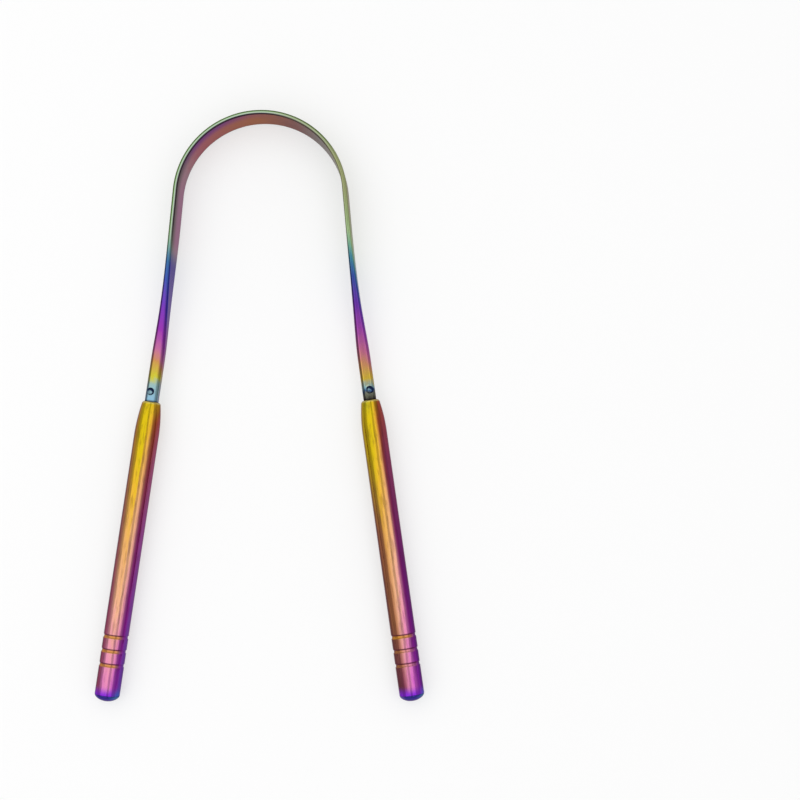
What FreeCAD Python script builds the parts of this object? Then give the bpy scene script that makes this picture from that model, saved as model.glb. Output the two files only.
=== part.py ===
"""Tongue scraper: a square steel bar bent into a U, pressed flat into a blade at its arch,
with a hollow steel handle swaged onto each end and closed by a domed cap.

It lies as on a table: X across, Y along the handles with the arch at +Y, Z up.
Millimetres and degrees.
"""
import FreeCAD
import Part

import math
import os

from FreeCAD import Placement, Rotation, Vector

# Bar and blade
bar_side = 3.1            # square bar that the whole U is made from
bar_bevel = 0.75          # broken edge along the bar's four corners
blade_width = 8.5         # height of the flattened blade
blade_thickness = 1.15
blade_bevel = 0.35        # broken edge along the scraping edges
arch_radius = 21.0        # at the middle of the blade's thickness
arm_splay = 5.0           # lean of each arm where it leaves the arch
handle_splay = 7.9        # lean of each handle
flat_arm = 7.0            # full blade that runs straight on below the arch
flare_length = 35.75      # from the full blade back to the square bar
flare_sections = 9        # cross-sections that the flare is lofted through
bar_stem = 10.0           # square bar in view between the flare and the handle
bar_insert = 18.0         # square bar inside the handle

# Punched dimple on the face of each bar, just above its handle
dimple_diameter = 2.0
dimple_depth = 0.5
dimple_above_mouth = 2.45
dimple_outward = 0.35

# Handle tube
handle_diameter = 6.0
tube_wall = 0.5
tube_length = 71.5
mouth_wall = 0.55         # steel round the bar at the swaged end
mouth_clearance = 0.03    # between the bar's corners and the swaged bore
mouth_land = 2.5          # length of bore that grips the bar
lip_length = 0.65         # rounded lip of the mouth
lip_flat = 0.04           # flat ring left at the very end of the lip
swage_length = 8.0        # from the mouth to the full diameter
rim_chamfer = 0.12        # broken edge at the capped end

# Rolled grip grooves
groove_count = 3
groove_pitch = 3.4
groove_width = 1.0
groove_floor = 0.4
groove_depth = 0.16
groove_from_rim = 7.3     # capped end of the tube to the middle of the nearest groove

# End cap
dome_height = 1.5
spigot_length = 3.0
spigot_clearance = 0.03
spigot_chamfer = 0.4


def along(lean):
    """Direction down the right arm where it leans outwards by this angle."""
    return Vector(math.sin(math.radians(lean)), -math.cos(math.radians(lean)), 0)


def outward(lean):
    """Direction square to the right arm, away from the inside of the U."""
    return Vector(math.cos(math.radians(lean)), math.sin(math.radians(lean)), 0)


# Places along the right arm, in the plane of the U, with the arch's centre at zero
arch_end = outward(arm_splay) * arch_radius
flat_end = arch_end + along(arm_splay) * flat_arm
flare_radius = flare_length / math.radians(handle_splay - arm_splay)
flare_end = flat_end + (outward(arm_splay) - outward(handle_splay)) * flare_radius
mouth = flare_end + along(handle_splay) * bar_stem
rim = mouth + along(handle_splay) * tube_length
tip = rim + along(handle_splay) * dome_height

# Radii of the handle
bar_half_diagonal = math.hypot(bar_side / 2, bar_side / 2 - bar_bevel)
mouth_bore = bar_half_diagonal + mouth_clearance
mouth_radius = mouth_bore + mouth_wall
handle_radius = handle_diameter / 2
tube_bore = handle_radius - tube_wall
spigot_radius = tube_bore - spigot_clearance

# On a table it rests on the blade's lower edge and on the rims of the two tubes
rest_tilt = math.degrees(math.atan2(blade_width / 2 - handle_radius, flat_end.y - rim.y))
rest_height = (blade_width / 2 * math.cos(math.radians(rest_tilt))
               - flat_end.y * math.sin(math.radians(rest_tilt)))
middle_y = (arch_radius + blade_thickness / 2 + tip.y) / 2


def section(centre, lean, thickness, width, bevel):
    """Bevelled rectangle square to the right arm, thickness across the arm and width along Z."""
    x = thickness / 2
    z = width / 2
    quarter = [(x, z - bevel), (x - bevel, z)]
    half = quarter + [(-x, z) for x, z in reversed(quarter)]
    outline = half + [(-x, -z) for x, z in half]
    points = [centre + outward(lean) * x + Vector(0, 0, z) for x, z in outline]
    return Part.makePolygon(points + points[:1])


def flare_section(share):
    """Cross-section part way down the flare: the blade narrows and thickens into the square bar."""
    ease = share * share * (3 - 2 * share)
    lean = arm_splay + share * (handle_splay - arm_splay)
    centre = flat_end + (outward(arm_splay) - outward(lean)) * flare_radius
    width = blade_width + ease * (bar_side - blade_width)
    blade_area = blade_width * blade_thickness
    area = blade_area + ease * (bar_side * bar_side - blade_area)
    bevel = blade_bevel + ease * (bar_bevel - blade_bevel)
    return section(centre, lean, area / width, width, bevel)


def mirrored(shape):
    """The same shape on the other side of the U."""
    return shape.mirror(Vector(0, 0, 0), Vector(1, 0, 0))


def dimple():
    """Ball that leaves the punched dimple in the upper face of the right bar."""
    ball = (dimple_diameter ** 2 / 4 + dimple_depth ** 2) / (2 * dimple_depth)
    centre = mouth - along(handle_splay) * dimple_above_mouth + outward(handle_splay) * dimple_outward
    return Part.makeSphere(ball, centre + Vector(0, 0, bar_side / 2 + ball - dimple_depth))


def scraper_blade():
    """The whole bent bar: flattened arch, two flared arms and the square ends inside the handles."""
    blade_face = Part.Face(section(arch_end, arm_splay, blade_thickness, blade_width, blade_bevel))
    bar_face = Part.Face(section(flare_end, handle_splay, bar_side, bar_side, bar_bevel))
    arch = blade_face.revolve(Vector(0, 0, 0), Vector(0, 0, 1), 180 - 2 * arm_splay)
    arm = blade_face.extrude(along(arm_splay) * flat_arm)
    steps = flare_sections - 1
    flare = Part.makeLoft([flare_section(i / steps) for i in range(flare_sections)], True, False)
    stem = bar_face.extrude(along(handle_splay) * (bar_stem + bar_insert))
    right = [arm, flare, stem]
    left = [mirrored(piece) for piece in right]
    bar = arch.fuse(right + left).removeSplitter()
    return bar.cut([dimple(), mirrored(dimple())])


def lines(points):
    """Straight edges through points given as radius and distance from the mouth."""
    places = [Vector(radius, 0, distance) for radius, distance in points]
    return [Part.makeLine(start, end) for start, end in zip(places, places[1:])]


def bulge(start, end, turn):
    """Round edge that swells outwards and leaves the straight line between its ends by this angle."""
    first, last = (Vector(radius, 0, distance) for radius, distance in (start, end))
    chord = last - first
    swell = Vector(chord.z, 0, -chord.x) * (math.tan(turn / 2) / 2)
    return Part.Arc(first, (first + last) / 2 + swell, last).toShape()


def grooved_wall(radius, start, end):
    """Points along the tube's straight wall and its grooves, from the mouth towards the rim."""
    points = [(radius, start)]
    for number in reversed(range(groove_count)):
        place = tube_length - groove_from_rim - number * groove_pitch
        points.append((radius, place - groove_width / 2))
        points.append((radius - groove_depth, place - groove_floor / 2))
        points.append((radius - groove_depth, place + groove_floor / 2))
        points.append((radius, place + groove_width / 2))
    return points + [(radius, end)]


def turned(edges):
    """Solid turned about the handle's axis from a closed outline, set in place on the right arm."""
    solid = Part.Face(Part.Wire(edges)).revolve(Vector(0, 0, 0), Vector(0, 0, 1), 360)
    axes = Rotation(outward(handle_splay), Vector(0, 0, 1), along(handle_splay), "ZXY")
    solid.Placement = Placement(mouth, axes)
    return solid


def swell_to_side(start, end):
    """Round edge that swells from a smaller radius and ends in line with the tube's side."""
    return bulge(start, end, math.atan2(end[0] - start[0], end[1] - start[1]))


def handle_tube():
    """Hollow handle: swaged mouth with a rounded lip, straight tube and rolled grooves."""
    bore = grooved_wall(tube_bore, swage_length, tube_length)
    side = grooved_wall(handle_radius, swage_length, tube_length - rim_chamfer)
    mouth_end = [(mouth_bore, mouth_land), (mouth_bore, 0), (mouth_bore + lip_flat, 0)]
    lip = swell_to_side(mouth_end[-1], (mouth_radius, lip_length))
    swage = swell_to_side((mouth_radius, lip_length), side[0])
    capped_end = [(handle_radius - rim_chamfer, tube_length), (tube_bore, tube_length)]
    return turned(lines(bore[::-1] + mouth_end) + [lip, swage] + lines(side + capped_end))


def end_cap():
    """Domed cap, flush with the tube, with a chamfered spigot in its bore."""
    dome_top = (0, tube_length + dome_height)
    dome_foot = (handle_radius, tube_length)
    spigot_end = tube_length - spigot_length
    outline = [dome_top, (0, spigot_end),
               (spigot_radius - spigot_chamfer, spigot_end),
               (spigot_radius, spigot_end + spigot_chamfer),
               (spigot_radius, tube_length), dome_foot]
    dome = bulge(dome_foot, dome_top, math.atan2(dome_height, handle_radius))
    return turned(lines(outline) + [dome])


def lay_down(shape):
    """The shape as it lies on a table, under the middle of the whole scraper."""
    laid = shape.copy()
    laid.rotate(Vector(0, 0, 0), Vector(1, 0, 0), rest_tilt)
    laid.translate(Vector(0, -middle_y, rest_height))
    return laid


pieces = {
    "scraper_blade": scraper_blade(),
    "right_handle_tube": handle_tube(),
    "left_handle_tube": mirrored(handle_tube()),
    "right_end_cap": end_cap(),
    "left_end_cap": mirrored(end_cap()),
}

os.makedirs("parts", exist_ok=True)
for name, shape in pieces.items():
    lay_down(shape).exportStep("parts/" + name + ".step")
    print(name, "solids", len(shape.Solids), "valid", shape.isValid(), "volume", round(shape.Volume, 2))
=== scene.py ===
import math

import bmesh
import bpy
from mathutils import Matrix, Vector


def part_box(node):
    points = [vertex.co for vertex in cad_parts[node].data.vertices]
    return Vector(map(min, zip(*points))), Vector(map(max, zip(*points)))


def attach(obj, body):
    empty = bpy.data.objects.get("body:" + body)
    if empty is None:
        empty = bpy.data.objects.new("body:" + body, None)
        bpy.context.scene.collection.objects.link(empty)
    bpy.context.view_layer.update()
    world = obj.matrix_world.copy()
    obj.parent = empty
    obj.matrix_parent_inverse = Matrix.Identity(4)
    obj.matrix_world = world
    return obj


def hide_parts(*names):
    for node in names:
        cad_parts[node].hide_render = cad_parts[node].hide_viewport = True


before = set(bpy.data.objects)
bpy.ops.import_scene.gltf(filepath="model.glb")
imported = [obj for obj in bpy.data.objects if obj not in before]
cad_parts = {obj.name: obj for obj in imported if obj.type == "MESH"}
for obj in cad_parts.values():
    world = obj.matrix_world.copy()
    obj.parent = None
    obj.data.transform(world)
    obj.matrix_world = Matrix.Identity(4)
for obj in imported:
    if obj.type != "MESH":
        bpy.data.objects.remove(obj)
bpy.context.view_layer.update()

# Scraper blade
# One length of 3.1 mm square stainless bar, bent into a U. Its arch is pressed flat into a blade
# that flares back to the square bar in each arm, and a punch has left a dimple above each handle.
# A thin coloured film covers it: every band of colour is a different thickness of the film, and painted
# shade and painted highlights lie over it in places.
mm = 0.001
bar_side = 3.1
bar_corner = 0.75
bar_corner_roundness = 0.35
blade_width = 8.5
blade_thickness = 1.15
blade_corner = 0.45
blade_corner_roundness = 1.0
arch_radius = 21.0
arm_splay = math.radians(5.0)
handle_splay = math.radians(7.9)
flat_arm = 7.0
flare_length = 35.75
bar_stem = 10.0
bar_insert = 18.0

# The U lies on a table, on the blade's lower edge and the rims of its handles
blade_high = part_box("scraper_blade")[1]
cap_middle = sum(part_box("right_end_cap"), Vector()) / 2
crown = Vector((0, blade_high.y, blade_high.z - blade_width / 2 * mm))
rest_tilt = math.atan2(crown.z - cap_middle.z, crown.y - cap_middle.y)
lie_down = Matrix.Rotation(rest_tilt, 4, "X") @ Matrix.Scale(mm, 4)
arch_centre = crown - lie_down @ Vector((0, arch_radius + blade_thickness / 2, 0))
lie_down = Matrix.Translation(arch_centre) @ lie_down


def along(lean):
    """Direction down the right arm where it leans outwards by this angle."""
    return Vector((math.sin(lean), -math.cos(lean), 0))


def outward(lean):
    """Direction square to the right arm, away from the inside of the U."""
    return Vector((math.cos(lean), math.sin(lean), 0))


arch_length = arch_radius * (math.pi / 2 - arm_splay)
flare_start = arch_length + flat_arm
stem_start = flare_start + flare_length
mouth_distance = stem_start + bar_stem
flat_end = outward(arm_splay) * arch_radius + along(arm_splay) * flat_arm
flare_radius = flare_length / (handle_splay - arm_splay)
flare_end = flat_end + (outward(arm_splay) - outward(handle_splay)) * flare_radius
mouth = flare_end + along(handle_splay) * bar_stem


def centreline(distance):
    """Place and lean of the right half of the bar, this far from the crown."""
    if distance < arch_length:
        lean = math.pi / 2 - distance / arch_radius
        return outward(lean) * arch_radius, lean
    if distance < flare_start:
        return flat_end - along(arm_splay) * (flare_start - distance), arm_splay
    if distance < stem_start:
        lean = arm_splay + (distance - flare_start) / flare_radius
        return flat_end + (outward(arm_splay) - outward(lean)) * flare_radius, lean
    return flare_end + along(handle_splay) * (distance - stem_start), handle_splay


corner_steps = 6
edge_steps = 18
face_shares = (0.02, 0.1, 0.3, 0.5, 0.7, 0.9, 0.98)
edge_shares = tuple(step / edge_steps for step in range(1, edge_steps))
section_points = 4 * (corner_steps + 1) + 2 * len(face_shares) + 2 * len(edge_shares)


def cross_section(distance):
    """Points round the bar this far from the crown, with the section's thickness and width.

    Each point says how far outwards, how far upwards and how much on a corner it is.
    """
    share = min(max((distance - flare_start) / flare_length, 0), 1)
    ease = share * share * (3 - 2 * share)
    width = blade_width + ease * (bar_side - blade_width)
    blade_area = blade_width * blade_thickness
    thickness = (blade_area + ease * (bar_side * bar_side - blade_area)) / width
    size = blade_corner + ease * (bar_corner - blade_corner)
    roundness = blade_corner_roundness + ease * (bar_corner_roundness - blade_corner_roundness)
    corners = []
    for quarter, (out, up) in enumerate(((1, 1), (-1, 1), (-1, -1), (1, -1))):
        centre = Vector((out * (thickness / 2 - size), up * (width / 2 - size)))
        turns = [math.pi / 2 * (quarter + step / corner_steps) for step in range(corner_steps + 1)]
        arc = [centre + Vector((math.cos(turn), math.sin(turn))) * size for turn in turns]
        corner = []
        for step, point in enumerate(arc):
            share = step / corner_steps
            point = arc[0].lerp(arc[-1], share).lerp(point, roundness)
            corner.append(Vector((*point, math.sin(math.pi * share))))
        corners.append(corner)
    points = []
    for number, corner in enumerate(corners):
        following = corners[(number + 1) % 4][0]
        shares = edge_shares if number % 2 == 0 else face_shares
        points += corner + [corner[-1].lerp(following, share) for share in shares]
    return points, thickness, width


# Lengths of the bar from the crown to its end, with the number of steps in each
dimple_above_mouth = 2.45
dimple_zone = 3.0
above_dimple = bar_stem - dimple_above_mouth - dimple_zone / 2
below_dimple = dimple_above_mouth - dimple_zone / 2
stretches = ((arch_length, 70), (flat_arm, 6), (flare_length, 48), (above_dimple, 8),
             (dimple_zone, 28), (below_dimple, 4), (bar_insert, 4))
distances = [0.0]
for length, steps in stretches:
    start = distances[-1]
    distances += [start + length * step / steps for step in range(1, steps + 1)]
stations = [-distance for distance in reversed(distances[1:])] + distances

# The bar grows from its left end to its right end, one ring of points at a time
mesh = bmesh.new()
number_layer = mesh.verts.layers.int.new("number")
along_layer = mesh.verts.layers.float.new("along")
out_layer = mesh.verts.layers.float.new("out")
level_layer = mesh.verts.layers.float.new("level")
corner_layer = mesh.verts.layers.float.new("corner")
dimple_layer = mesh.verts.layers.float.new("dimple")
shade_side_layer = mesh.verts.layers.float.new("hook")
ring = bmesh.ops.create_circle(mesh, segments=section_points, radius=1)["verts"]
ring_edges = list(mesh.edges)
for number, vertex in enumerate(ring):
    vertex[number_layer] = number
for station in stations:
    if station > stations[0]:
        grown = bmesh.ops.extrude_edge_only(mesh, edges=ring_edges)["geom"]
        ring = [item for item in grown if isinstance(item, bmesh.types.BMVert)]
        new_vertices = set(ring)
        ring_edges = [item for item in grown
                      if isinstance(item, bmesh.types.BMEdge) and new_vertices.issuperset(item.verts)]
    else:
        bmesh.ops.edgeloop_fill(mesh, edges=ring_edges)
    side = math.copysign(1, station)
    centre, lean = centreline(abs(station))
    offsets, thickness, width = cross_section(abs(station))
    for vertex in ring:
        out, up, corner = offsets[vertex[number_layer]]
        place = centre + outward(lean) * out
        vertex.co = (side * place.x, place.y, up)
        vertex[along_layer] = station
        vertex[out_layer] = 2 * out / thickness
        vertex[level_layer] = 2 * up / width
        vertex[corner_layer] = corner
bmesh.ops.edgeloop_fill(mesh, edges=ring_edges)

# Each punched dimple is a round hollow with a slightly raised rim; a direction towards its upper right
# marks the side where its painted shade is strongest
dimple_radius = 1.0
dimple_depth = 0.5
dimple_outward = 0.35
dimple_rim = 0.05
dimple_rim_spread = 0.15
shade_direction = Vector((0.6, 0.8))
dimple_middle = mouth - along(handle_splay) * dimple_above_mouth + outward(handle_splay) * dimple_outward
for vertex in mesh.verts:
    if vertex.co.z > bar_side / 2 - bar_corner:
        beside = vertex.co.x - math.copysign(dimple_middle.x, vertex.co.x)
        above = vertex.co.y - dimple_middle.y
        away = math.hypot(beside, above) / dimple_radius
        hollow = max(1 - away * away, 0)
        rim = math.exp(-((away - 1) / dimple_rim_spread) ** 2)
        vertex[dimple_layer] = hollow
        vertex[shade_side_layer] = shade_direction.dot(Vector((beside, above))) / dimple_radius
        vertex.co.z += dimple_rim * rim - dimple_depth * hollow

bar_seam = 1e-5
bmesh.ops.remove_doubles(mesh, verts=mesh.verts, dist=bar_seam)
bmesh.ops.recalc_face_normals(mesh, faces=mesh.faces)
for face in mesh.faces:
    face.smooth = True
bmesh.ops.transform(mesh, matrix=lie_down, verts=mesh.verts)
blade_mesh = bpy.data.meshes.new("coloured_scraper_blade")
mesh.to_mesh(blade_mesh)
mesh.free()
blade = bpy.data.objects.new("coloured_scraper_blade", blade_mesh)
bpy.context.collection.objects.link(blade)


class Field:
    """A socket of a material's nodes; arithmetic on it adds Math nodes."""

    def __init__(self, tree, socket=None):
        self.tree = tree
        self.socket = socket

    def node(self, kind, settings=None, sockets=None, output=0):
        """Adds a node: its settings first, then a value or a link for each of its sockets."""
        made = self.tree.nodes.new(kind)
        for name, value in (settings or {}).items():
            if name == "stops":
                elements = made.color_ramp.elements
                while len(elements) < len(value):
                    elements.new(1.0)
                for element, (position, colour) in zip(elements, value):
                    element.position = position
                    element.color = colour
            else:
                setattr(made, name, value)
        for name, value in (sockets or {}).items():
            if isinstance(value, Field):
                self.tree.links.new(value.socket, made.inputs[name])
            else:
                made.inputs[name].default_value = value
        return Field(self.tree, made.outputs[output])

    def math(self, operation, *values):
        """Adds a Math node on these values."""
        return self.node("ShaderNodeMath", {"operation": operation}, dict(enumerate(values)))

    def rise(self, span):
        """Zero up to the span's start and one from its end, with a smooth rise between them."""
        return self.node("ShaderNodeMapRange", {"interpolation_type": "SMOOTHSTEP"},
                         {"Value": self, "From Min": span[0], "From Max": span[1]})

    def fall(self, span):
        """One up to the span's start and zero from its end."""
        return 1 - self.rise(span)

    def between(self, first, second):
        """Second number where this value is one, first number where it is zero."""
        return first + (second - first) * self

    def blend(self, first, second):
        """Second colour where this value is one, first colour where it is zero."""
        return self.node("ShaderNodeMix", {"data_type": "RGBA"}, {0: self, 6: first, 7: second}, output=2)

    def band(self, stops, reach):
        """Colour from named stops, each at its own place within the reach."""
        start, end = reach
        shares = [((place - start) / (end - start), film_and_painted_light_colours[name]) for place, name in stops]
        return self.node("ShaderNodeValToRGB", {"stops": shares}, {"Fac": (self - start) / (end - start)})

    def stretched(self, scale):
        """This place multiplied in each direction, for noise that is finer one way than another."""
        return self.node("ShaderNodeVectorMath", {"operation": "MULTIPLY"}, {0: self, 1: scale})

    def noise(self, detail=3.0):
        """Noise from zero to one at this place, with flecks about one unit wide."""
        return self.node("ShaderNodeTexNoise", sockets={"Vector": self, "Scale": 1.0, "Detail": detail})

    def __add__(self, other):
        return self.math("ADD", self, other)

    def __radd__(self, other):
        return self.math("ADD", other, self)

    def __sub__(self, other):
        return self.math("SUBTRACT", self, other)

    def __rsub__(self, other):
        return self.math("SUBTRACT", other, self)

    def __mul__(self, other):
        return self.math("MULTIPLY", self, other)

    def __rmul__(self, other):
        return self.math("MULTIPLY", other, self)

    def __truediv__(self, other):
        return self.math("DIVIDE", self, other)


def srgb(red, green, blue):
    """A colour written as it shows on a screen, 0 to 255, as linear light by the sRGB curve."""
    light = []
    for value in (red, green, blue):
        share = value / 255
        light.append(((share + 0.055) / 1.055) ** 2.4 if share > 0.04 else share / 12.92)
    return (*light, 1.0)


film_edge_tint = srgb(215, 200, 210)
polish_roughness = 0.07
polish_haze = 0.12
polish_depth = 0.02
polish_strength = 0.6


def coloured_steel(name):
    """A polished steel material under a coloured film; returns it with its nodes and its shader."""
    material = bpy.data.materials.new(name)
    material.use_nodes = True
    shader = material.node_tree.nodes["Principled BSDF"]
    shader.inputs["Metallic"].default_value = 1.0
    shader.inputs["Specular Tint"].default_value = film_edge_tint
    return material, Field(material.node_tree), shader


def polish(nodes, shader, lines, satin=0.0):
    """Fine polishing lines: a slight waviness of the surface and of its gloss, duller where it is satin."""
    grain = lines.noise()
    wave = nodes.node("ShaderNodeBump", sockets={"Height": grain, "Strength": polish_strength,
                                                 "Distance": polish_depth * mm})
    roughness = polish_roughness + polish_haze * grain + satin
    nodes.tree.links.new(roughness.socket, shader.inputs["Roughness"])
    nodes.tree.links.new(wave.socket, shader.inputs["Normal"])


# Colours of the film, together with the colours of its painted shade and painted highlights
film_and_painted_light_colours = {
    "pale_blue": srgb(126, 166, 188),
    "olive_grey": srgb(104, 106, 92),
    "brown_grey": srgb(62, 58, 50),
    "night_blue": srgb(50, 84, 130),
    "sky": srgb(118, 154, 166),
    "sea_green": srgb(136, 168, 168),
    "yellow": srgb(184, 178, 50),
    "amber": srgb(208, 178, 60),
    "peach": srgb(202, 140, 102),
    "light_pink": srgb(190, 106, 140),
    "bright_magenta": srgb(156, 70, 164),
    "orange": srgb(182, 128, 76),
    "pink": srgb(176, 100, 138),
    "magenta": srgb(138, 50, 154),
    "violet": srgb(104, 56, 166),
    "blue": srgb(58, 80, 158),
    "inner_blue": srgb(48, 40, 152),
    "steel_blue": srgb(58, 104, 145),
    "teal": srgb(96, 144, 138),
    "sea_blue": srgb(66, 130, 152),
    "jade": srgb(116, 164, 136),
    "fern": srgb(152, 176, 128),
    "moss": srgb(144, 160, 112),
    "grey_green": srgb(150, 168, 140),
    "grey": srgb(146, 158, 134),
    "olive": srgb(145, 150, 106),
    "mauve": srgb(164, 118, 144),
    "dusty_rose": srgb(164, 132, 138),
    "rust": srgb(168, 100, 104),
    "copper": srgb(166, 108, 66),
    "bronze": srgb(132, 90, 76),
    "taupe": srgb(124, 124, 110),
    "indigo_shade": srgb(116, 64, 126),
    "painted_edge_highlight": srgb(164, 182, 162),
    "leaf_green": srgb(102, 136, 78),
    "olive_shade": srgb(92, 90, 80),
    "dark_plum": srgb(56, 40, 52),
    "dark_green": srgb(70, 98, 46),
    "shade": srgb(24, 18, 30),
    "navy_dimple_shade": srgb(22, 34, 66),
}
blade_finish, nodes, shader = coloured_steel("film_and_painted_light_blade")
marks = ("along", "out", "level", "corner", "dimple", "hook")
run, out, level, corner, dimple, hook = (
    nodes.node("ShaderNodeAttribute", {"attribute_name": mark}, output="Fac") for mark in marks)

# The bands of the film run up each arm from its handle, in small patches, and lie lower on its right side
left_arm = [(0.5, "pale_blue"), (4.2, "sea_green"), (6.1, "yellow"), (10.2, "orange"), (12.8, "pink"),
            (17.5, "magenta"), (24.3, "violet"), (30.5, "blue"), (35.7, "steel_blue"), (39.2, "teal"),
            (42.5, "grey_green"), (53.0, "grey")]
right_arm = [(0.4, "brown_grey"), (1.2, "olive_grey"), (1.8, "olive_grey"), (2.3, "night_blue"),
             (2.8, "sky"), (3.3, "sea_green"), (5.1, "amber"), (9.2, "peach"), (12.2, "light_pink"),
             (18.0, "bright_magenta"), (24.0, "violet"), (30.5, "blue"), (35.4, "sea_blue"),
             (38.6, "jade"), (42.0, "fern"), (47.0, "moss"), (52.0, "olive")]
arm_reach = (0, mouth_distance)
arms_meet = (-20, 20)
patch_scale = (1.5, 4.0, 0.5)
patch_shift = 3.0
side_shift = 4.0
shifted_side = (0.2, 1.0)
shift_starts = (5, 11)
right_half = run.rise(arms_meet)
to_right = out * (2 * right_half - 1)
above_mouth = mouth_distance - nodes.math("ABSOLUTE", run)
on_bar = nodes.node("ShaderNodeCombineXYZ", sockets={0: out, 1: level, 2: run})
mottle = on_bar.stretched(patch_scale).noise() - 0.5
ahead = side_shift * to_right.rise(shifted_side) * above_mouth.rise(shift_starts)
shifted = above_mouth + patch_shift * mottle + ahead
film = right_half.blend(shifted.band(left_arm, arm_reach), shifted.band(right_arm, arm_reach))

# The inner side of the left arm is blue where the bar flares
blue_side = (0.4, 0.9)
blue_starts = (16, 24)
blue_ends = (33, 40)
blue_strength = 0.9
blue = to_right.rise(blue_side) * above_mouth.rise(blue_starts)
blue = blue * above_mouth.fall(blue_ends) * (1 - right_half)
film = (blue_strength * blue).blend(film, film_and_painted_light_colours["inner_blue"])

# The inner face of the blade has bands of its own, with painted shade over its upper part on the left and
# along its foot
inner_face = [(-32, "mauve"), (-26, "dusty_rose"), (-18, "rust"), (-2, "copper"), (9, "bronze"),
              (16, "taupe"), (30, "grey")]
upper_left_shade_bands = [(-27, "olive_shade"), (-19, "indigo_shade")]
inner_reach = (-46, 31)
inner_patch_shift = 8.0
inner_side = (0.8, 1.0)
inner_starts = (33.5, 40.5)
upper_part = (-0.1, 0.95)
left_part = (-6, 14)
face_foot = (0.75, 0.95)
face_foot_strength = 0.35
inner = (-1 * out).rise(inner_side) * above_mouth.rise(inner_starts)
upper_left_shade = level.rise(upper_part) * (-1 * run).rise(left_part)
patched = run + inner_patch_shift * mottle
inner_film = patched.band(inner_face, inner_reach)
inner_film = upper_left_shade.blend(inner_film, patched.band(upper_left_shade_bands, inner_reach))
foot = face_foot_strength * (-1 * level).rise(face_foot)
inner_film = foot.blend(inner_film, film_and_painted_light_colours["dark_plum"])
film = inner.blend(film, inner_film)

# Painted shade runs along its corners, darker on the left: near black on the bar, plum inside and green
# outside on the blade
blade_starts = (34, 46)
line_sides = (-0.5, 0.5)
right_of_crown = (16, 24)
bar_line_left = 0.7
bar_line_right = 0.25
blade_line_left = 0.8
blade_line_right = 0.15
on_blade = above_mouth.rise(blade_starts)
blade_corner_shade = out.rise(line_sides).blend(film_and_painted_light_colours["dark_plum"], film_and_painted_light_colours["dark_green"])
corner_shade_colour = on_blade.blend(film_and_painted_light_colours["shade"], blade_corner_shade)
bar_line = to_right.rise(line_sides).between(bar_line_left, bar_line_right)
blade_line = run.rise(right_of_crown).between(blade_line_left, blade_line_right)
film = (corner * on_blade.between(bar_line, blade_line)).blend(film, corner_shade_colour)

# Painted shade and a painted highlight line follow the blade's thin edges and fade out towards the right
edge_shade_and_highlight = [(-0.55, "dark_plum"), (-0.25, "painted_edge_highlight"), (0.0, "painted_edge_highlight"), (0.25, "leaf_green"),
              (0.6, "dark_green")]
thickness_reach = (-1, 1)
thin_edge = (0.9, 0.95)
edge_fades = (0, 10)
edge_fade = 0.6
edge_ends = (16, 26)
edge = nodes.math("ABSOLUTE", level).rise(thin_edge) * on_blade
edge = edge * (1 - edge_fade * run.rise(edge_fades)) * run.fall(edge_ends)
film = edge.blend(film, out.band(edge_shade_and_highlight, thickness_reach))

# Painted shade darkens the sides of the bar near its handle, and the end that goes into it
bar_sides = (0.7, 1.0)
side_shade_ends = (10, 28)
side_shade = 0.35
stem_shade_ends = (0.1, 0.5)
stem_shade = 0.7
side_face = nodes.math("ABSOLUTE", out).rise(bar_sides)
film = (side_face * above_mouth.fall(side_shade_ends) * side_shade).blend(film, film_and_painted_light_colours["shade"])
film = (stem_shade * above_mouth.fall(stem_shade_ends)).blend(film, film_and_painted_light_colours["shade"])

# Painted shade in each dimple: navy over its wall, strongest towards the upper right and faint away from
# it, and over its floor except on the side away from the upper right
dimple_wall_starts = (0.02, 0.2)
dimple_floor = (0.6, 0.95)
floor_clear = 0.9
shade_side_floor = (0.0, 0.35)
shade_side_wall = (-0.6, 0.0)
faint_wall = 0.25
clear = floor_clear * dimple.rise(dimple_floor) * hook.fall(shade_side_floor)
wall = dimple.rise(dimple_wall_starts) * (1 - clear)
film = (wall * hook.rise(shade_side_wall).between(faint_wall, 1.0)).blend(film, film_and_painted_light_colours["navy_dimple_shade"])
nodes.tree.links.new(film.socket, shader.inputs["Base Color"])

bar_polish_scale = (3.0, 8.0, 0.2)
satin_starts = (20, 40)
blade_satin = 0.25
polish(nodes, shader, on_bar.stretched(bar_polish_scale),
       satin=blade_satin * side_face * above_mouth.rise(satin_starts))
blade_mesh.materials.append(blade_finish)
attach(blade, "root")
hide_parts("scraper_blade")

# Handle tubes
# Two lengths of 6 mm stainless tube. One end of each is swaged down onto the square bar and ends
# in a rounded lip, and three grip grooves are rolled into it near the other end.
handle_radius = 3.0
tube_wall = 0.5
tube_length = 71.5
mouth_clearance = 0.03
mouth_wall = 0.55
mouth_land = 2.5
lip_flat = 0.04
lip_length = 0.65
lip_steps = 8
swage_length = 8.0
swage_steps = 24
swage_lumps = 8
lump_height = 0.018
groove_count = 3
groove_pitch = 3.4
groove_width = 1.0
groove_depth = 0.16
groove_from_rim = 7.3
groove_steps = 12
rim_chamfer = 0.12
turn_steps = 96
tube_seam = 1e-4
sharp_angle = math.radians(35)
last_groove = tube_length - groove_from_rim
first_groove = last_groove - (groove_count - 1) * groove_pitch


def swell(start, end, steps):
    """Points of a round edge that swells from a smaller radius and ends in line with the tube's side."""
    rise = end[0] - start[0]
    length = end[1] - start[1]
    radius = (rise * rise + length * length) / (2 * rise)
    reach = math.asin(length / radius)
    turns = [reach * (1 - step / steps) for step in range(steps + 1)]
    return [(end[0] - radius * (1 - math.cos(turn)), end[1] - radius * math.sin(turn)) for turn in turns]


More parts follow.
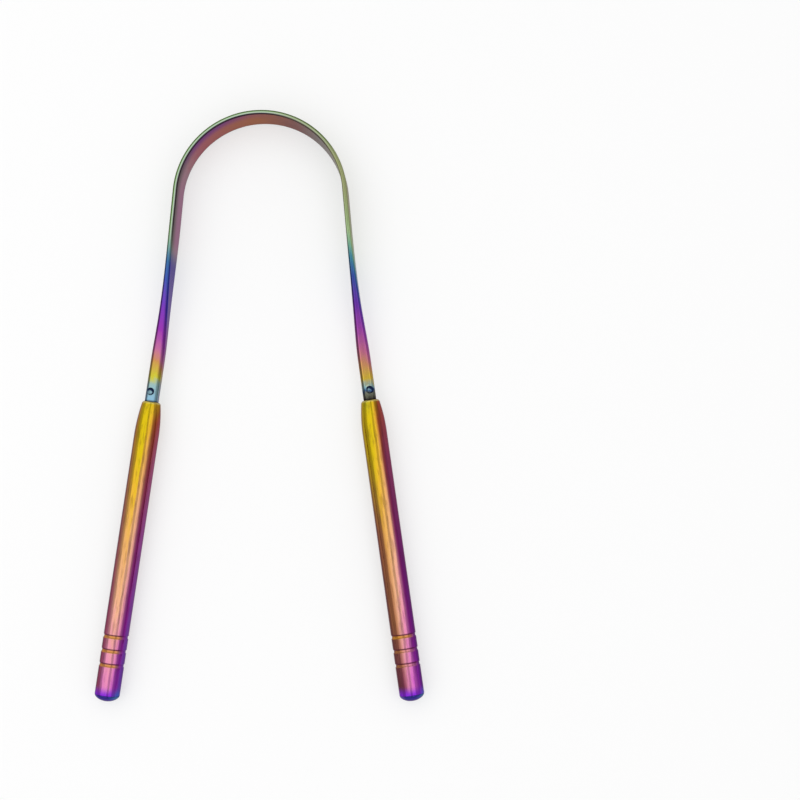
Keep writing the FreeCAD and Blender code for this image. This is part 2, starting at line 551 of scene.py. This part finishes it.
def grooved_wall(radius, start, end):
    """Points along the tube's straight wall and its round grooves, from the mouth towards the rim."""
    points = [(radius, start)]
    for number in range(groove_count):
        for step in range(groove_steps + 1):
            share = step / groove_steps
            fall = min(2 * math.sin(math.pi * share) ** 2, 1)
            place = first_groove + number * groove_pitch + (share - 0.5) * groove_width
            points.append((radius - groove_depth * fall, place))
    return points + [(radius, end)]


mouth_bore = math.hypot(bar_side / 2, bar_side / 2 - bar_corner) + mouth_clearance
lip_start = (mouth_bore + lip_flat, 0)
lip_end = (mouth_bore + mouth_wall, lip_length)
tube_bore = handle_radius - tube_wall
bore_wall = grooved_wall(tube_bore, swage_length, tube_length)
tube_outline = (bore_wall[::-1] + [(mouth_bore, mouth_land), (mouth_bore, 0)]
                + swell(lip_start, lip_end, lip_steps)
                + swell(lip_end, (handle_radius, swage_length), swage_steps)[1:]
                + grooved_wall(handle_radius, swage_length, tube_length - rim_chamfer)[1:]
                + [(handle_radius - rim_chamfer, tube_length), (tube_bore, tube_length)])


def turned(outline):
    """Mesh turned about the handle's axis from an outline of radius and distance from the mouth."""
    mesh = bmesh.new()
    vertices = [mesh.verts.new((radius, 0, distance)) for radius, distance in outline]
    edges = [mesh.edges.new(pair) for pair in zip(vertices, vertices[1:])]
    bmesh.ops.spin(mesh, geom=vertices + edges, cent=(0, 0, 0), axis=(0, 0, 1), angle=2 * math.pi,
                   steps=turn_steps, use_merge=True)
    bmesh.ops.remove_doubles(mesh, verts=mesh.verts, dist=tube_seam)
    bmesh.ops.recalc_face_normals(mesh, faces=mesh.faces)
    return mesh


def swaged_tube():
    """Mesh of one tube, with the slight lumps that the swaging leaves round its mouth."""
    mesh = turned(tube_outline)
    for vertex in mesh.verts:
        radius = math.hypot(vertex.co.x, vertex.co.y)
        fade = 1 - vertex.co.z / swage_length
        if radius > mouth_bore + lip_flat / 2 and 0 < fade < 1:
            turn = math.atan2(vertex.co.y, vertex.co.x)
            dent = lump_height * math.sin(math.pi * fade) * (1 - math.cos(swage_lumps * turn))
            vertex.co.x *= 1 - dent / radius
            vertex.co.y *= 1 - dent / radius
    return mesh


def handle_place(side):
    """Where a turned piece goes on the left arm (-1) or the right arm (1), its axis down from the mouth."""
    sideways = outward(handle_splay)
    downwards = along(handle_splay)
    across = Vector((sideways.x, side * sideways.y, 0))
    down = Vector((side * downwards.x, downwards.y, 0))
    start = Vector((side * mouth.x, mouth.y, 0))
    axes = Matrix((across, (0, 0, 1), down)).transposed().to_4x4()
    return lie_down @ Matrix.Translation(start) @ axes


def handle_piece(mesh, name, place):
    """Object for a turned mesh, set in place on its arm."""
    for face in mesh.faces:
        face.smooth = True
    bmesh.ops.transform(mesh, matrix=place, verts=mesh.verts)
    piece_mesh = bpy.data.meshes.new(name)
    mesh.to_mesh(piece_mesh)
    mesh.free()
    piece_mesh.set_sharp_from_angle(angle=sharp_angle)
    piece = bpy.data.objects.new(name, piece_mesh)
    bpy.context.collection.objects.link(piece)
    return piece


def handle_space(nodes, place):
    """Place on a handle in millimetres: across towards +X, up, and down from the mouth."""
    location, rotation, scale = place.decompose()
    return nodes.node("ShaderNodeMapping", {"vector_type": "TEXTURE"},
                      {"Vector": nodes.node("ShaderNodeTexCoord", output="Object"), "Location": location,
                       "Rotation": rotation.to_euler(), "Scale": scale})


film_and_painted_light_colours.update({
    "lime": srgb(152, 154, 36),
    "bright_yellow": srgb(198, 172, 22),
    "gold": srgb(212, 166, 48),
    "apricot": srgb(212, 158, 92),
    "salmon": srgb(216, 160, 128),
    "rose": srgb(210, 130, 160),
    "ochre": srgb(150, 116, 14),
    "chestnut": srgb(146, 66, 36),
    "garnet": srgb(138, 48, 68),
    "plum": srgb(132, 36, 104),
    "purple": srgb(128, 28, 128),
    "deep_violet": srgb(132, 40, 156),
    "orchid": srgb(184, 84, 178),
    "mulberry": srgb(148, 76, 104),
    "amethyst": srgb(128, 64, 138),
    "iris": srgb(92, 54, 152),
    "end_violet": srgb(120, 40, 190),
    "umber": srgb(160, 114, 46),
    "umber_streaks_and_shade": srgb(70, 38, 34),
    "brown": srgb(142, 90, 74),
    "old_rose": srgb(136, 60, 86),
    "dark_yellow": srgb(172, 146, 20),
    "dark_copper": srgb(146, 92, 62),
    "wine": srgb(124, 58, 82),
    "dark_wine": srgb(126, 52, 84),
    "dark_purple": srgb(98, 28, 98),
    "dark_violet": srgb(88, 28, 120),
    "groove_gold": srgb(186, 128, 44),
    "groove_shade": srgb(84, 22, 40),
    "mouth_shade": srgb(34, 42, 30),
    "painted_lip_highlight": srgb(206, 196, 126),
    "end_blue": srgb(58, 86, 170),
})
tube_reach = (0, tube_length)

# The bands on top slant to both sides, in flecks, and stand out of line with the tube by a small turn
top_side = [(-16, "lime"), (-4, "bright_yellow"), (14, "bright_yellow"), (25, "gold"), (37, "apricot"),
            (52, "salmon"), (66, "rose"), (84, "orchid")]
top_reach = (-20, 90)
turn_at_mouth = {"left": 0.05, "right": -0.14}
turn_at_end = {"left": 0.05, "right": 0.17}
film_shift = {"left": 0.0, "right": 7.0}
slant_to_left = {"left": 12.0, "right": -25.0}
slant_to_right = {"left": 20.0, "right": 32.0}
right_step = {"left": 12.0, "right": 0.0}
right_step_turn = (0.0, 0.15)
right_step_ends = (25, 58)
fleck_scale = (3.0, 3.0, 0.5)
fleck_shift = 14.0
lime_mouth = {"left": 0.0, "right": 0.8}
lime_ends = (0, 5)
lime_turn = (-0.4, 0.3)

# Each side and each rim of a tube has bands of its own. Towards the rims the bands are darker, partly the
# film's own colour and partly painted shade, and the left rim has a band of painted shade in dark umber.
right_side = [(0, "ochre"), (5, "chestnut"), (18, "garnet"), (34, "plum"), (54, "purple"),
              (70, "deep_violet")]
right_turn = {"left": (0.25, 0.7), "right": (0.25, 0.6)}
right_rim = {
    "left": [(0, "chestnut"), (14, "mulberry"), (40, "amethyst"), (70, "iris")],
    "right": [(0, "chestnut"), (14, "dark_wine"), (40, "dark_purple"), (70, "dark_violet")],
}
right_rim_turn = {"left": (0.7, 0.9), "right": (0.55, 0.75)}
left_side = {
    "left": [(0, "umber"), (10, "umber"), (26, "brown"), (50, "old_rose"), (71, "old_rose")],
    "right": [(0, "dark_yellow"), (14, "dark_yellow"), (32, "dark_copper"), (54, "dark_copper"),
              (70, "wine")],
}
left_turn = {"left": (0.34, 0.8), "right": (0.12, 0.62)}
left_rim_shade_turn = (0.72, 0.98)
left_rim_shade_strength = 0.7

# Streaks follow the polishing lines, the far end is violet and blue, and the lip has a painted highlight
# above painted shade in the mouth
streak_scale = (2.6, 2.6, 0.3)
streak_detail = 4.0
streak_span = (0.48, 0.7)
streak_strength = 0.32
far_end = (tube_length - 2.5, tube_length)
far_end_turn = (0.4, 0.9)
lip_highlight_ends = (0.35, 0.7)
lip_highlight_strength = 0.5
mouth_shade_ends = (0.05, 0.2)
mouth_shade_strength = 0.9


def tube_film(place, turn, mottle, streaks, side_name):
    """Colour of the film on one tube, with its painted shade and painted highlight, from the place down it
    and the turn round it.
    """
    slanted = place + fleck_shift * mottle + film_shift[side_name]
    slanted = slanted + slant_to_right[side_name] * turn.math("MAXIMUM", turn, 0.0)
    slanted = slanted - slant_to_left[side_name] * turn.math("MINIMUM", turn, 0.0)
    slanted = slanted + right_step[side_name] * turn.rise(right_step_turn) * place.fall(right_step_ends)
    lime = lime_mouth[side_name] * place.fall(lime_ends) * turn.fall(lime_turn)
    film = lime.blend(slanted.band(top_side, top_reach), film_and_painted_light_colours["lime"])
    film = turn.rise(right_turn[side_name]).blend(film, place.band(right_side, tube_reach))
    # Darker bands towards the right rim and on the left side: partly the film's colour, partly painted
    # shade
    film = turn.rise(right_rim_turn[side_name]).blend(film, place.band(right_rim[side_name], tube_reach))
    to_left = -1 * turn
    film = to_left.rise(left_turn[side_name]).blend(film, place.band(left_side[side_name], tube_reach))
    # Painted shade along the left rim
    film = (left_rim_shade_strength * to_left.rise(left_rim_shade_turn)).blend(film, film_and_painted_light_colours["umber_streaks_and_shade"])
    film = (streak_strength * streaks.rise(streak_span)).blend(film, film_and_painted_light_colours["umber_streaks_and_shade"])
    end_colour = turn.rise(far_end_turn).blend(film_and_painted_light_colours["end_violet"], film_and_painted_light_colours["end_blue"])
    film = place.rise(far_end).blend(film, end_colour)
    # Painted highlight on the lip, and painted shade in the dark mouth where the bar goes in
    film = (lip_highlight_strength * place.fall(lip_highlight_ends)).blend(film, film_and_painted_light_colours["painted_lip_highlight"])
    return (mouth_shade_strength * place.fall(mouth_shade_ends)).blend(film, film_and_painted_light_colours["mouth_shade"])


# The film is gold in the grooves, with painted shade along the edge that faces the mouth
grooves_start = (first_groove - groove_width, first_groove - 0.8 * groove_width)
grooves_end = (last_groove + 0.8 * groove_width, last_groove + groove_width)
gold_starts = (-0.3, -0.1)
gold_ends = (0.35, 0.6)
gold_turn = (0.3, 0.8)
gold_strength = 0.85
gold_fades = (first_groove + 0.6, first_groove + 2.0)
gold_fade = {"left": 0.0, "right": 0.6}
groove_edge_starts = (-0.62, -0.45)
groove_edge_ends = (-0.28, -0.1)
groove_edge_turn = (0.5, 0.9)
groove_edge_strength = 0.75


def groove_film(film, place, turn, side_name):
    """The film's colour with the gold floor and the painted shade along the edge of each groove."""
    grooves = place.rise(grooves_start) * place.fall(grooves_end)
    from_groove = place.math("WRAP", place - first_groove, groove_pitch / 2, -groove_pitch / 2)
    gold = from_groove.rise(gold_starts) * from_groove.fall(gold_ends) * turn.fall(gold_turn)
    gold = gold * (1 - gold_fade[side_name] * place.rise(gold_fades))
    film = (gold_strength * gold * grooves).blend(film, film_and_painted_light_colours["groove_gold"])
    groove_edge_shade = from_groove.rise(groove_edge_starts) * from_groove.fall(groove_edge_ends)
    groove_edge_shade = groove_edge_shade * turn.fall(groove_edge_turn)
    return (groove_edge_strength * groove_edge_shade * grooves).blend(film, film_and_painted_light_colours["groove_shade"])


tube_polish_scale = (1.8, 1.8, 0.12)
handle_places = {"left": handle_place(-1), "right": handle_place(1)}
for side_name, handle in handle_places.items():
    tube = handle_piece(swaged_tube(), "coloured_" + side_name + "_handle_tube", handle)
    finish, nodes, shader = coloured_steel("heat_coloured_" + side_name + "_tube")
    local = handle_space(nodes, handle)
    place = nodes.node("ShaderNodeSeparateXYZ", sockets={0: local}, output="Z")
    across = nodes.node("ShaderNodeSeparateXYZ", sockets={0: local}, output="X") / handle_radius
    twist = (turn_at_end[side_name] - turn_at_mouth[side_name]) / tube_length
    turn = across - turn_at_mouth[side_name] - twist * place
    mottle = local.stretched(fleck_scale).noise() - 0.5
    streaks = local.stretched(streak_scale).noise(streak_detail)
    film = tube_film(place, turn, mottle, streaks, side_name)
    film = groove_film(film, place, turn, side_name)
    nodes.tree.links.new(film.socket, shader.inputs["Base Color"])
    polish(nodes, shader, local.stretched(tube_polish_scale))
    tube.data.materials.append(finish)
    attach(tube, "root")
    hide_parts(side_name + "_handle_tube")

# End caps
# A turned stainless plug closes the lower end of each tube: its spigot is pushed into the bore,
# and its low dome stands on the rim, flush with the tube.
dome_height = 1.5
dome_steps = 14
dome_fullness = 0.6
foot_chamfer = 0.06
spigot_length = 3.0
spigot_radius = 2.47
spigot_chamfer = 0.4
dome_foot = handle_radius - foot_chamfer
ball = (handle_radius ** 2 + dome_height ** 2) / (2 * dome_height)
dome = []
for step in range(dome_steps + 1):
    turn = math.pi / 2 * step / dome_steps
    radius = dome_foot * math.sin(turn)
    low = dome_height - ball + math.sqrt(ball * ball - radius * radius)
    full = dome_height * math.cos(turn)
    dome.append((radius, tube_length + low + dome_fullness * (full - low)))
spigot_end = tube_length - spigot_length
cap_outline = dome + [(dome_foot, tube_length), (spigot_radius, tube_length),
                      (spigot_radius, spigot_end + spigot_chamfer),
                      (spigot_radius - spigot_chamfer, spigot_end), (0, spigot_end)]
film_and_painted_light_colours.update({
    "dusk_highlight": srgb(104, 98, 160),
    "deep_blue": srgb(54, 50, 134),
    "royal_blue": srgb(54, 76, 146),
    "peacock": srgb(64, 116, 146),
})
# The dome's film runs from deep blue to peacock across it, with a painted highlight in pale dusk blue at
# its left edge
dome_bands = [(-1, "dusk_highlight"), (-0.5, "deep_blue"), (0.3, "deep_blue"), (0.6, "royal_blue"), (1, "peacock")]
dome_reach = (-1, 1)
for side_name, handle in handle_places.items():
    cap = handle_piece(turned(cap_outline), "coloured_" + side_name + "_end_cap", handle)
    finish, nodes, shader = coloured_steel("heat_coloured_" + side_name + "_cap")
    local = handle_space(nodes, handle)
    turn = nodes.node("ShaderNodeSeparateXYZ", sockets={0: local}, output="X") / handle_radius
    nodes.tree.links.new(turn.band(dome_bands, dome_reach).socket, shader.inputs["Base Color"])
    polish(nodes, shader, local)
    cap.data.materials.append(finish)
    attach(cap, "root")
    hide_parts(side_name + "_end_cap")

# Studio
# A wide pale table top under two long soft light panels, in a room that is darker towards its walls,
# with the camera above the table. The camera and the steel see the table top whiter than it is lit.
floor_size = 6.0
floor_tone = 0.92
floor_roughness = 0.9
floor_white = 0.55
mesh = bmesh.new()
bmesh.ops.create_grid(mesh, x_segments=1, y_segments=1, size=floor_size / 2)
floor_mesh = bpy.data.meshes.new("table_top")
mesh.to_mesh(floor_mesh)
mesh.free()
floor = bpy.data.objects.new("table_top", floor_mesh)
bpy.context.collection.objects.link(floor)
floor_finish = bpy.data.materials.new("pale_table")
floor_finish.use_nodes = True
floor_shader = floor_finish.node_tree.nodes["Principled BSDF"]
floor_shader.inputs["Base Color"].default_value = (floor_tone, floor_tone, floor_tone, 1.0)
floor_shader.inputs["Roughness"].default_value = floor_roughness
nodes = Field(floor_finish.node_tree)
ray_kinds = ("Is Camera Ray", "Is Glossy Ray", "Is Transmission Ray")
camera_ray, glossy_ray, transmission_ray = (
    nodes.node("ShaderNodeLightPath", output=kind) for kind in ray_kinds)
seen = camera_ray + glossy_ray + transmission_ray
lit = Field(floor_finish.node_tree, floor_shader.outputs[0])
white = nodes.node("ShaderNodeEmission", sockets={"Strength": 1.0})
seen_floor = nodes.node("ShaderNodeMixShader", sockets={0: floor_white * seen, 1: lit, 2: white})
floor_output = floor_finish.node_tree.nodes["Material Output"]
floor_finish.node_tree.links.new(seen_floor.socket, floor_output.inputs["Surface"])
floor_mesh.materials.append(floor_finish)

wall_light = 0.7
ceiling_light = 0.8
world = bpy.data.worlds.new("studio")
bpy.context.scene.world = world
world.use_nodes = True
room = world.node_tree.nodes["Background"]
room.inputs["Color"].default_value = (1.0, 1.0, 1.0, 1.0)
nodes = Field(world.node_tree)
direction = nodes.node("ShaderNodeTexCoord", output="Generated")
upwards = nodes.node("ShaderNodeSeparateXYZ", sockets={0: direction}, output="Z")
brightness = nodes.math("MAXIMUM", upwards, 0.0).between(wall_light, ceiling_light)
world.node_tree.links.new(brightness.socket, room.inputs["Strength"])

panel_height = 0.36
panel_length = 1.0
panel_brightness = 0.55
panel_edges = {"left_panel": (-0.5, -0.01), "right_panel": (0.11, 0.36)}
for panel_name, (left, right) in panel_edges.items():
    light = bpy.data.lights.new(panel_name, "AREA")
    light.shape = "RECTANGLE"
    light.size = right - left
    light.size_y = panel_length
    light.energy = panel_brightness * math.pi * light.size * light.size_y
    panel = bpy.data.objects.new(panel_name, light)
    panel.location = ((left + right) / 2, 0, panel_height)
    bpy.context.collection.objects.link(panel)

camera_place = Vector((43.3, -32.94, 314.72)) * mm
camera_aim = Vector((34.245, 0.11, 4.0)) * mm
camera_roll = -0.0047
lens_length = 57.53
sensor_width = 36.0
nearest_view = 0.01
camera_data = bpy.data.cameras.new("camera")
camera_data.lens = lens_length
camera_data.sensor_width = sensor_width
camera_data.clip_start = nearest_view
back = (camera_place - camera_aim).normalized()
right = Vector((0, 1, 0)).cross(back).normalized()
camera_turn = Matrix((right, back.cross(right), back)).transposed() @ Matrix.Rotation(camera_roll, 3, "Z")
camera = bpy.data.objects.new("camera", camera_data)
camera.matrix_world = Matrix.Translation(camera_place) @ camera_turn.to_4x4()
bpy.context.collection.objects.link(camera)
bpy.context.scene.camera = camera
bpy.context.scene.view_settings.view_transform = "Standard"
